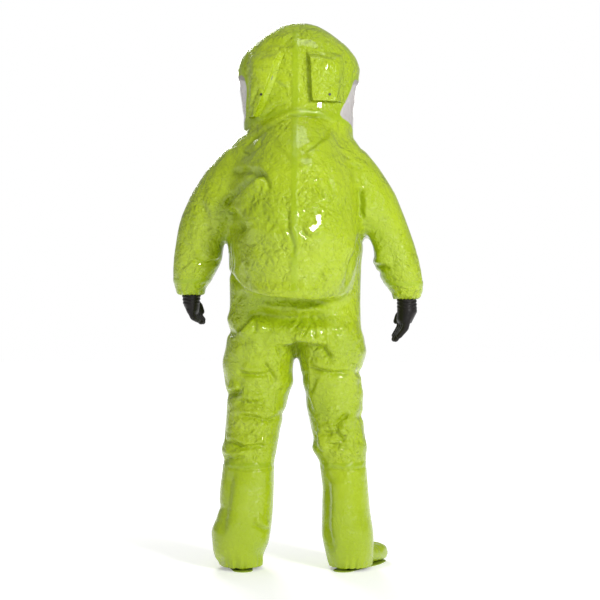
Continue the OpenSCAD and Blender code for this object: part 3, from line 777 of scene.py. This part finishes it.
def press_fold(out, normals, seen, fold):
    """Raise a ridge and sink a valley beside each other along one path."""
    width, ridge, valley = (value * MILLIMETRE for value in fold[:3])
    path = np.array(fold[3]) * MILLIMETRE
    low = path.min(0) - FOLD_REACH * width
    high = path.max(0) + FOLD_REACH * width
    near = np.flatnonzero(((seen > low) & (seen < high)).all(1) & (normals[:, 1] > FACING_AWAY))
    if not len(near):
        return
    p = seen[near]
    lengths = np.linalg.norm(np.diff(path, axis=0), axis=1)
    total = lengths.sum()
    best = np.full(len(p), np.inf)
    along = np.zeros(len(p))
    side = np.zeros(len(p))
    run = 0
    for a, b, length in zip(path, path[1:], lengths):
        way = (b - a) / length
        t = np.clip((p - a) @ way, 0, length)
        away = p - a - t[:, None] * way
        d = np.linalg.norm(away, axis=1)
        closer = d < best
        best[closer] = d[closer]
        along[closer] = (run + t[closer]) / total
        side[closer] = (away @ np.array([way[1], -way[0]]))[closer]
        run += length
    s = np.sign(side) * best / width
    crest, trough = 0.7, -0.6             # where ridge and valley run, in half widths from the path
    fade = 0.22                           # the share of the path over which each end dies out
    slope = np.where(s > crest, 2, 1)     # the ridge falls away more gently on its far side
    shape = ridge * np.exp(-((s - crest) / slope) ** 2) - valley * np.exp(-(s - trough) ** 2 * 1.6)
    ends = smooth_step(np.minimum(along, 1 - along) / fade)
    facing = smooth_step((normals[near, 1] - FACING_AWAY) / 0.45)
    out[near] += normals[near] * (shape * ends * facing)[:, None]


def gathered(at, rest, normals):
    """Small pleats where elastic draws in the boot flaps and cuffs."""
    move = np.zeros(len(at))
    boot_depth, cuff_depth = 0.0030, 0.0014         # of the pleats
    boot_reach, cuff_reach = 0.060, 0.045           # how far up from the hems they run
    for side, sign in SIDES.items():
        own = sign * rest[:, 0] > 0
        foot = middle(f"{side}_boot_flap")
        turn = np.arctan2(rest[:, 1] - foot.y, rest[:, 0] - foot.x)
        rise = smooth_step(1 - (rest[:, 2] - HEM_Z) / boot_reach) * (rest[:, 2] < 0.2) * own
        pleats = np.sin(23 * turn + 2 * np.sin(3 * turn)) + 0.5 * np.sin(41 * turn + 1)
        move += boot_depth * rise * pleats * (0.55 + 0.45 * np.sin(5 * turn + 1.3 * sign))
        cuff = middle(f"{side}_splash_cuff")
        turn = np.arctan2(rest[:, 1] - cuff.y, rest[:, 0] - cuff.x)
        end = cuff_levels(side)[0]
        sleeve = (sign * rest[:, 0] > 0.28) * (rest[:, 2] > 0.8)
        rise = smooth_step(1 - (rest[:, 2] - end) / cuff_reach) * sleeve
        move += cuff_depth * rise * (np.sin(19 * turn + 2 * np.sin(2 * turn)) + 0.4 * np.sin(33 * turn))
    return at + normals * move[:, None]


def edges_of(triangles):
    return np.vstack([triangles[:, [0, 1]], triangles[:, [1, 2]], triangles[:, [2, 0]]])


def snap(rest, at, triangles, level):
    """Move the nearer end of every edge that crosses level = 0 onto it, so that a cut there is clean."""
    edges = edges_of(triangles)
    a, b = level[edges[:, 0]], level[edges[:, 1]]
    crossing = a * b < 0
    edges, a, b = edges[crossing], a[crossing], b[crossing]
    first = abs(a) < abs(b)
    mover = np.where(first, edges[:, 0], edges[:, 1])
    other = np.where(first, edges[:, 1], edges[:, 0])
    part = np.minimum(abs(a), abs(b)) / (abs(a) + abs(b))
    order = np.argsort(-part)
    mover, other, part = mover[order], other[order], part[order][:, None]
    rest[mover] += (rest[other] - rest[mover]) * part
    at[mover] += (at[other] - at[mover]) * part
    level[mover] = 0


def tape_amount(rest):
    """1 on the welded seam tapes, 0 on the plain cloth."""
    s = seam_heights(rest)
    back = rest[:, 1] > 0.02
    arms = (abs(rest[:, 0]) > 0.24) & (rest[:, 2] > 0.8)
    tapes = abs(s["neck"]) < TAPE_HALF
    tapes |= (abs(s["middle"]) < WIDE_TAPE_HALF) & back & (rest[:, 2] > 0.965)
    tapes |= (abs(s["knee_seam"]) < TAPE_HALF * 0.8) & ~arms
    for side, sign in SIDES.items():
        tapes |= (abs(s[f"{side}_armhole"]) < TAPE_HALF) & (rest[:, 2] > 1.0) & (rest[:, 1] < 0)
        tapes |= (abs(s[f"{side}_cuff_seam"]) < TAPE_HALF * 0.7) & arms & (sign * rest[:, 0] > 0)
    tapes |= (abs(s["window"]) < WINDOW_EDGE) & (s["neck"] > -0.012) & (rest[:, 1] < 0.05)
    return tapes.astype(float)


def dressed_cloth():
    """The whole garment as one surface: its points at rest, as it hangs, and its triangles."""
    skin = garment_skin()
    start = vertex_array(skin.data)
    hung = settle(skin)
    surfaces = []
    for points in (start, hung):
        surface = in_scene("surface", skin.data.copy())
        set_vertices(surface.data, points)
        surfaces.append(subdivided(surface))
    rest, at = (vertex_array(s.data) for s in surfaces)
    corners = np.empty(len(surfaces[0].data.loops), dtype=np.int64)
    surfaces[0].data.loops.foreach_get("vertex_index", corners)
    quads = corners.reshape(-1, 4)
    triangles = np.vstack([quads[:, [0, 1, 2]], quads[:, [0, 2, 3]]])
    for extra in [skin] + surfaces:
        bpy.data.objects.remove(extra)
    return rest, at, triangles


def over_the_feet(at, rest):
    """The boot flaps' fronts ride up over the insteps, from their hems to a little above."""
    free = 0.17             # above this height the cloth hangs as it did
    clearance = 0.005       # between the cloth and the sock
    for side, sign in SIDES.items():
        tree = node_tree(f"{side}_sock")
        own = np.flatnonzero((sign * rest[:, 0] > 0) & (rest[:, 2] < free) & (rest[:, 1] < -0.09))
        for i in own:
            p = Vector(at[i])
            hit = tree.ray_cast(Vector((p.x, p.y, free)), -UP, free - 0.004)[0]
            if hit is not None:
                top = hit.z + clearance
                at[i, 2] = top + max(0, p.z - HEM_Z) * (free - top) / (free - HEM_Z)
    return at


def cut_and_shape():
    rest, at, triangles = dressed_cloth()
    normals = point_normals(at, triangles)
    seen = seen_from_behind(at)
    folded = at.copy()
    for swell in SWELLS:
        x, z, radius, rise = (value * MILLIMETRE for value in swell)
        far = np.hypot(seen[:, 0] - x, seen[:, 1] - z) / radius
        folded += normals * (rise * np.exp(-far ** 2))[:, None]
    for fold in FOLDS:
        press_fold(folded, normals, seen, fold)
    at = gathered(folded, rest, normals)
    at = over_the_feet(at, rest)
    cuts = ["neck", "window", "left_armhole", "right_armhole", "waist", "thigh", "middle", "hem",
            "left_cuff", "right_cuff"]
    for name in cuts:
        snap(rest, at, triangles, seam_heights(rest)[name])
    for name, width in (("neck", TAPE_HALF), ("middle", WIDE_TAPE_HALF), ("window", WINDOW_EDGE)):
        for sign in (1, -1):
            snap(rest, at, triangles, seam_heights(rest)[name] - sign * width)
    normals = point_normals(at, triangles)
    tape = tape_amount(rest)
    at = at + normals * (TAPE_RISE * tape)[:, None]
    return rest, at, triangles, point_normals(at, triangles), tape


def regions(rest, triangles):
    """Which triangles make each piece."""
    s = {name: level[triangles].mean(1) for name, level in seam_heights(rest).items()}
    above = s["neck"] > 0
    out = {"hood": above & (s["window"] > 0), "face_shield": above & (s["window"] <= 0)}
    rest_of = ~above
    for side in SIDES:
        arm = rest_of & (s[f"{side}_armhole"] > 0) & (s["waist"] > 0)
        out[f"{side}_sleeve"] = arm & (s[f"{side}_cuff"] > 0)
        rest_of &= ~arm
    out["trunk"] = rest_of & (s["waist"] > 0)
    rest_of &= s["waist"] <= 0
    for side, sign in SIDES.items():
        own = rest_of & (s["middle"] * sign > 0)
        out[f"{side}_seat"] = own & (s["thigh"] > 0)
        out[f"{side}_leg"] = own & (s["thigh"] <= 0) & (s["hem"] > 0)
    return out


def turned_hem(points, faces, near_end):
    """Turn the open edge whose points are marked in near_end inwards and up, as a thick rim."""
    sides = edges_of(faces)
    key = sides.min(1) * len(points) + sides.max(1)
    _, first, count = np.unique(key, return_index=True, return_counts=True)
    edge = sides[first[count == 1]]
    edge = edge[near_end[edge].all(1)]
    rim = np.unique(edge)
    start = points[rim]
    inward = unit_rows((start.mean(0) - start) * [1, 1, 0])
    source = rim
    for depth, rise in ((0.0028, 0.0006), (0.0050, 0.030)):
        lookup = np.zeros(len(points), dtype=np.int64)
        lookup[source] = len(points) + np.arange(len(rim))
        points = np.vstack([points, start + inward * depth + [0, 0, rise]])
        inner = lookup[edge]
        faces = np.vstack([faces, np.column_stack([edge[:, 1], edge[:, 0], inner[:, 0]]),
                           np.column_stack([edge[:, 1], inner[:, 0], inner[:, 1]])])
        edge, source = inner, np.arange(len(points) - len(rim), len(points))
    return points, faces, np.tile(inward, (2, 1))


def cloth_piece(name, mask, cloth, hem=None):
    """One piece of the garment. hem is the height of its open edge at rest, which is turned in."""
    rest, at, triangles, normals, tape = cloth
    used, faces = np.unique(triangles[mask], return_inverse=True)
    faces = faces.reshape(-1, 3)
    points, shade, taped = at[used], normals[used], tape[used]
    if hem is not None:
        points, faces, inward = turned_hem(points, faces, rest[used][:, 2] < hem + 0.004)
        shade = np.vstack([shade, inward])
        taped = np.append(taped, np.zeros(len(inward)))
    piece = shade_smooth(make_object(name, points, faces))
    piece.data.normals_split_custom_set_from_vertices([tuple(n) for n in shade])
    piece.data.attributes.new("tape", "FLOAT", "POINT").data.foreach_set("value", taped.astype(np.float32))
    return piece


def add_garment():
    cloth = cut_and_shape()
    parts = regions(cloth[0], cloth[2])
    for name, region, slot, nodes in (
            ("hood_fabric", "hood", "laminate", ("hood", "face_shield_seal")),
            ("shield_film", "face_shield", "shield", ("face_shield",)),
            ("trunk_fabric", "trunk", "laminate", ("front_panel", "back_panel", "back_seam_tape"))):
        piece = dress(cloth_piece(name, parts[region], cloth), slot)
        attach(piece, "suit")
        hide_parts(*nodes)
    for side, sign in SIDES.items():
        sleeve = cloth_piece(f"{side}_sleeve_fabric", parts[f"{side}_sleeve"], cloth, cuff_levels(side)[0])
        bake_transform(dress(sleeve, "laminate"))
        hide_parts(*(f"{side}_{n}" for n in SLEEVE_NODES))
        seat = cloth_piece(f"{side}_seat_fabric", parts[f"{side}_seat"], cloth)
        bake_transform(dress(seat, "laminate"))
        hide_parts(f"{side}_hip", f"{side}_thigh")
        leg = cloth_piece(f"{side}_leg_fabric", parts[f"{side}_leg"], cloth, HEM_Z)
        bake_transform(dress(leg, "laminate"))
        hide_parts(*(f"{side}_{n}" for n in LEG_NODES))
    return cloth


# ---- Pieces on the hood and the front ----
def valve_axes(side):
    """The exhaust valve's place on the hood, and its across and outward directions."""
    hinge = joint(f"{side}_cover_hinge")
    across = Vector(hinge["axis"])
    across.z = 0
    across.normalize()
    if across.x * SIDES[side] < 0:
        across = -across
    out = Vector((-across.y, across.x, 0))
    if out.y < 0:
        out = -out
    base = middle(f"{side}_valve_disc")
    return base, across, out


def surface_depth(tree, origin, out):
    """How far along out, from origin, the hood's surface is."""
    hit = tree.ray_cast(origin + out * 0.20, -out, 0.40)[0]
    return None if hit is None else (hit - origin).dot(out)


# Each valve cover: its reach inwards and outwards from the valve, how far its top and its bottom lie below
# those of the plain solid, how far its inner edge runs outwards as it falls, and how its inner cheek flares.
COVERS = {
    "left": (0.056, 0.078, 0.002, 0.058, 0.090, (0.003, -0.003, -0.014)),
    "right": (0.068, 0.080, 0.008, 0.008, 0.010, (0.0025, 0.006, 0.005)),
}


def valve_pocket(side, tree):
    """A soft cover sewn down at its top and outer edges, standing off at its inner and bottom ones."""
    base, across, out = valve_axes(side)
    low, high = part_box(f"{side}_valve_cover")
    inner, outer, top_drop, bottom_drop, slant, flare = COVERS[side]
    top, bottom = high.z - top_drop, low.z - bottom_drop
    columns, rows = 30, 34
    grid = []
    for j in range(rows + 1):
        v = j / rows
        z = top + (bottom - top) * v
        for i in range(columns + 1):
            u = i / columns
            a = -inner + (inner + outer) * u + slant * v ** 1.3 * (1 - u)
            origin = Vector((base.x, base.y, z)) + across * a
            ground = surface_depth(tree, origin, out)
            ground = 0.0 if ground is None else ground
            sewn = float(smooth_step(min(v / 0.16, (1 - u) / 0.42)))
            billow = 0.004 * math.sin(math.pi * u) * math.sin(math.pi * v)
            crease = 0.0016 * math.sin(9 * u + 5 * v) * math.sin(7 * v + 2) * sewn
            lift = ground + 0.0015 + (0.024 + billow) * sewn + crease
            grid.append((origin + out * lift, origin + out * (ground - 0.002), sewn))
    vertices = [g[0] for g in grid]
    wide = columns + 1
    faces = grid_faces(rows + 1, wide)
    cheek = [j * wide for j in range(rows + 1)]
    lower = [rows * wide + i for i in range(wide)]
    # the inner cheek goes right down to the hood, and the bottom has a turned hem
    for edge, steps, tuck in ((cheek, tuple(zip((0.15, 0.6, 1.0), flare)), across),
                              (lower, ((0.10, 0.002), (0.30, 0.010)), UP)):
        previous = edge
        for share, inset in steps:
            fresh = []
            for k in edge:
                start, ground, sewn = grid[k]
                fresh.append(len(vertices))
                vertices.append(start.lerp(ground, share) + tuck * inset)
            faces += [(previous[k], previous[k + 1], fresh[k + 1], fresh[k]) for k in range(len(edge) - 1)]
            previous = fresh
    piece = make_object(f"{side}_cover_fabric", vertices, faces)
    thick = piece.modifiers.new("thickness", "SOLIDIFY")
    thick.thickness = 0.0014
    thick.offset = 0
    piece.modifiers.new("smooth", "SUBSURF").levels = 1
    recalculated(applied(piece))
    dress(shade_smooth(piece), "laminate")
    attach(piece, f"{side}_valve_cover")
    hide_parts(f"{side}_valve_cover")


def recalculated(piece):
    """Make every face of a closed mesh face outwards."""
    bm = bmesh.new()
    bm.from_mesh(piece.data)
    bmesh.ops.recalc_face_normals(bm, faces=bm.faces)
    bm.to_mesh(piece.data)
    bm.free()
    return piece


def strip_profile(points, rounds=2):
    """A closed outline with its corners cut off again and again."""
    for _ in range(rounds):
        points = [a.lerp(b, t) for a, b in zip(points, points[1:] + points[:1]) for t in (0.25, 0.75)]
    return points


def storm_flap():
    """The flap over the zip: a doubled strip tented over the slider, with a welded edge line."""
    low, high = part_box("storm_flap")
    wide, deep, t = high.x - low.x, high.y - low.y, 0.0024
    inner = [(0, 0), (0.15, -0.90), (0.40, -0.90), (0.70, -0.90), (0.85, -0.14), (0.995, -0.06)]
    face = [Vector((low.x + u * wide, high.y + v * deep, 0)) for u, v in inner]
    back = [p + Vector((0, -t, 0)) for p in reversed(face[1:])]
    outline = strip_profile(face + back)
    rings = []
    for v in np.linspace(0, 1, 73):
        z = low.z + (high.z - low.z) * v
        wave = 0.0012 * math.sin(17 * v + 1) + 0.0009 * math.sin(41 * v) - 0.0021
        rings.append([])
        for p in outline:
            u = (p.x - low.x) / wide
            welt = 0.0007 if abs(u - 0.93) < 0.02 and p.y < high.y - 0.003 else 0
            free = float(smooth_step((u - 0.1) / 0.5))
            rings[-1].append((p.x, p.y - welt + wave * free, z))
    flap = recalculated(loft("storm_flap_fabric", rings))
    dress(shade_smooth(flap), "laminate")
    sharpen(flap)
    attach(flap, "storm_flap")
    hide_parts("storm_flap")


def sharpen(piece, degrees=50):
    """Keep corners over an angle crisp under smooth shading."""
    piece.data.set_sharp_from_angle(angle=math.radians(degrees))


def seam_strip(tree):
    """The welded strip that carries the storm flap, laid on the trunk beside the zip."""
    low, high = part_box("flap_seam")
    xs = np.linspace(low.x, high.x, 9)
    zs = np.linspace(low.z, high.z, 60)
    vertices = []
    for z in zs:
        for i, x in enumerate(xs):
            hit = tree.ray_cast(Vector((x, -0.4, z)), BACK, 0.4)[0]
            y = hit.y if hit is not None else low.y
            rise = 0.0020 if 0 < i < len(xs) - 1 else 0.0002
            vertices.append((x, y - rise, z))
    strip = make_object("flap_seam_tape", vertices, grid_faces(len(zs), len(xs)))
    dress(shade_smooth(strip), "laminate")
    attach(strip, "suit")
    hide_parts("flap_seam")


# ---- Gloves and socks ----
def ring_of(centre, half_wide, half_deep, count=32):
    turns = [2 * math.pi * i / count for i in range(count)]
    return [centre + Vector((half_wide * math.cos(a), half_deep * math.sin(a), 0)) for a in turns]


def round_solid(rings, name="rings"):
    """A loft whose faces all face outwards, whichever way its rings run."""
    return recalculated(loft(name, rings))


def finger(points, radii):
    """One finger: a tapering round tube along a bent line, with a domed tip."""
    rings = []
    line = []
    for a, b, r0, r1 in zip(points, points[1:], radii, radii[1:]):
        line += [(a.lerp(b, t / 5), r0 + (r1 - r0) * t / 5) for t in range(5)]
    line.append((points[-1], radii[-1]))
    for k in range(1, 5):
        turn = math.pi / 2 * k / 4
        way = (points[-1] - points[-2]).normalized()
        radius = max(radii[-1] * math.cos(turn), 0.0006)
        line.append((points[-1] + way * radii[-1] * math.sin(turn), radius))
    for k, (centre, r) in enumerate(line):
        nearby = line[min(k + 1, len(line) - 1)][0] - line[max(k - 1, 0)][0]
        u = nearby.cross(BACK).normalized()
        v = nearby.cross(u).normalized()
        turns = [2 * math.pi * i / 16 for i in range(16)]
        rings.append([centre + (u * math.cos(a) + v * math.sin(a)) * r for a in turns])
    return round_solid(rings)


# Each hand below the cuff: (outward, y, z, half width, half depth) of wrist, palm and knuckles,
# then how its fingers bend: (outward, y, z) of their middle joints and tips from the knuckles.
HANDS = {
    "left": ([(0, 0, 0.014, 0.034, 0.035), (0.001, -0.004, -0.029, 0.029, 0.039),
              (-0.003, -0.012, -0.052, 0.023, 0.045)], (-0.013, -0.014, -0.024), (-0.030, -0.034, -0.042)),
    "right": ([(0, 0, 0.014, 0.034, 0.035), (0.002, -0.003, -0.044, 0.035, 0.042),
               (-0.006, -0.008, -0.072, 0.029, 0.046)], (-0.008, -0.004, -0.028), (-0.034, -0.010, -0.068)),
}


def glove(side):
    sign = SIDES[side]
    rows, bend, tip = HANDS[side]
    wrist = middle(f"{side}_glove_clamp")
    end = middle(f"{side}_cuff_elastic") - UP * 0.0068
    place = [end + Vector((sign * r[0], r[1], r[2])) for r in rows]
    rings = [ring_of(wrist + UP * 0.009, 0.0505, 0.0505), ring_of(wrist - UP * 0.012, 0.0505, 0.0505)]
    rings += [ring_of(p, r[3], r[4]) for p, r in zip(place, rows)]
    knuckles = place[-1]
    rings.append(ring_of(knuckles - UP * 0.012, rows[-1][3] * 0.8, rows[-1][4] * 0.85))
    solids = [round_solid(rings)]
    bend, tip = (Vector((sign * v[0], v[1], v[2])) for v in (bend, tip))
    for i in (-1.5, -0.5, 0.5, 1.5):
        short = 0.82 if abs(i) > 1 else 1.0
        root = knuckles + Vector((sign * i * 0.006, 0.022 * i, 0.008))
        solids.append(finger([root, knuckles + Vector((sign * i * 0.006, 0.021 * i, 0)) + bend,
                              knuckles + Vector((sign * i * 0.005, 0.0165 * i, 0)) + tip * short],
                             [0.0130, 0.0122, 0.0100]))
    solids.append(finger([knuckles + Vector((-sign * 0.004, -0.030, 0.033)),
                          knuckles + Vector((-sign * 0.020, -0.046, 0.014)),
                          knuckles + Vector((-sign * 0.028, -0.050, -0.006))], [0.0135, 0.0125, 0.0105]))
    piece = remeshed(solids, f"{side}_glove_rubber", 0.0026, 5)
    co = vertex_array(piece.data)
    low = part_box(f"{side}_glove")[0].z
    cuff = smooth_step((co[:, 2] - end.z + 0.045) / 0.03)
    wrinkle = 0.0012 * np.sin(co[:, 2] * 520 + 3 * np.sin(co[:, 0] * 60) + co[:, 1] * 40) * cuff
    around = unit_rows((co - np.array(place[0])) * [1, 1, 0])
    co += around * wrinkle[:, None]
    co[:, 2] = np.maximum(co[:, 2], low - 0.004)
    set_vertices(piece.data, co)
    dress(piece, "glove_rubber")
    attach(piece, f"{side}_forearm")
    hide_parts(f"{side}_glove")


def foot_axis(side):
    """The sole's middle line: its centre on the floor and the way its toes point."""
    co = vertex_array(frame["nodes"][f"{side}_sock_sole"].data)[:, :2]
    centre = co.mean(0)
    _, _, ways = np.linalg.svd(co - centre)
    way = ways[0] * (-1 if ways[0][1] > 0 else 1)
    along = (co - centre) @ way
    return centre, way, along.min(), along.max()


def sock(side):
    """The sock boot under the flap: a rounded foot with a creased instep, and its leg."""
    tree = node_tree(f"{side}_sock")
    centre, way, heel, toe = foot_axis(side)
    ahead = Vector((way[0], way[1], 0))
    across = ahead.cross(UP)
    middle_z = 0.034
    rings = []
    for t in np.linspace(heel + 0.016, toe - 0.004, 26):
        at = Vector((centre[0], centre[1], middle_z)) + ahead * float(t)
        at.z = middle_z - 0.012 * float(smooth_step((t - 0.06) / 0.1))
        ring = section(tree, at, across, UP, 0.07)
        rings.append(ring)
    tip = rings[-1]
    mid = sum(tip, Vector()) / len(tip)
    rings.append([mid + (p - mid) * 0.72 + ahead * 0.007 for p in tip])
    foot = round_solid(rings)
    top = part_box(f"{side}_sock")[1].z
    ankle = Vector((centre[0], centre[1], 0)) - ahead * float(0.085)
    leg_rings = []
    for z in np.linspace(0.08, top - 0.004, 18):
        above = Vector((ankle.x - SIDES[side] * 0.024, ankle.y - 0.012, 0))
        middle_of_leg = ankle.lerp(above, float(z / top))
        middle_of_leg.z = float(z)
        leg_rings.append(section(tree, middle_of_leg, LEFT, BACK, 0.12))
    leg = round_solid(leg_rings)
    piece = remeshed([foot, leg], f"{side}_sock_fabric", 0.0045, 6)
    co = vertex_array(piece.data)
    along = (co[:, :2] - centre) @ way
    instep = smooth_step((co[:, 2] - 0.03) / 0.03) * smooth_step((along + 0.05) / 0.05)
    co[:, 2] += instep * 0.0016 * np.sin(along * 210 + 2 * np.sin(co[:, 0] * 70))
    co[:, 2] += 0.016 * smooth_step((along - 0.055) / 0.05) * smooth_step((co[:, 2] - 0.012) / 0.03)
    set_vertices(piece.data, co)
    dress(piece, "laminate")
    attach(piece, f"{side}_shin")
    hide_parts(f"{side}_sock")


# ---- The scene ----
add_camera()
add_studio()
finishes = make_finishes()
slots = {name: slot for slot, names in {
    "zip_tape": ["zip_tape"], "zip_brass": ["zip_chain", "zip_slider", "zip_pull"],
    "hook_loop": ["hook_strip", "loop_strip"], "webbing": ["waist_belt"], "black_plastic": ["belt_buckle"],
}.items() for name in names}
for side in SIDES:
    slots.update({f"{side}_{name}": slot for name, slot in {
        "valve_base": "grey_plastic", "valve_disc": "valve_rubber", "valve_cap": "grey_plastic",
        "cover_snap": "black_plastic", "cuff_elastic": "elastic", "glove_ring": "grey_plastic",
        "glove_clamp": "clamp_steel", "flap_elastic": "elastic", "sock_sole": "sole_laminate"}.items()})
for name, slot in slots.items():
    dress(frame["nodes"][name], slot)

rest, at, triangles, normals, tape = add_garment()
surface = tree_of(at, triangles)
for side in SIDES:
    valve_pocket(side, surface)
    glove(side)
    sock(side)
storm_flap()
seam_strip(surface)
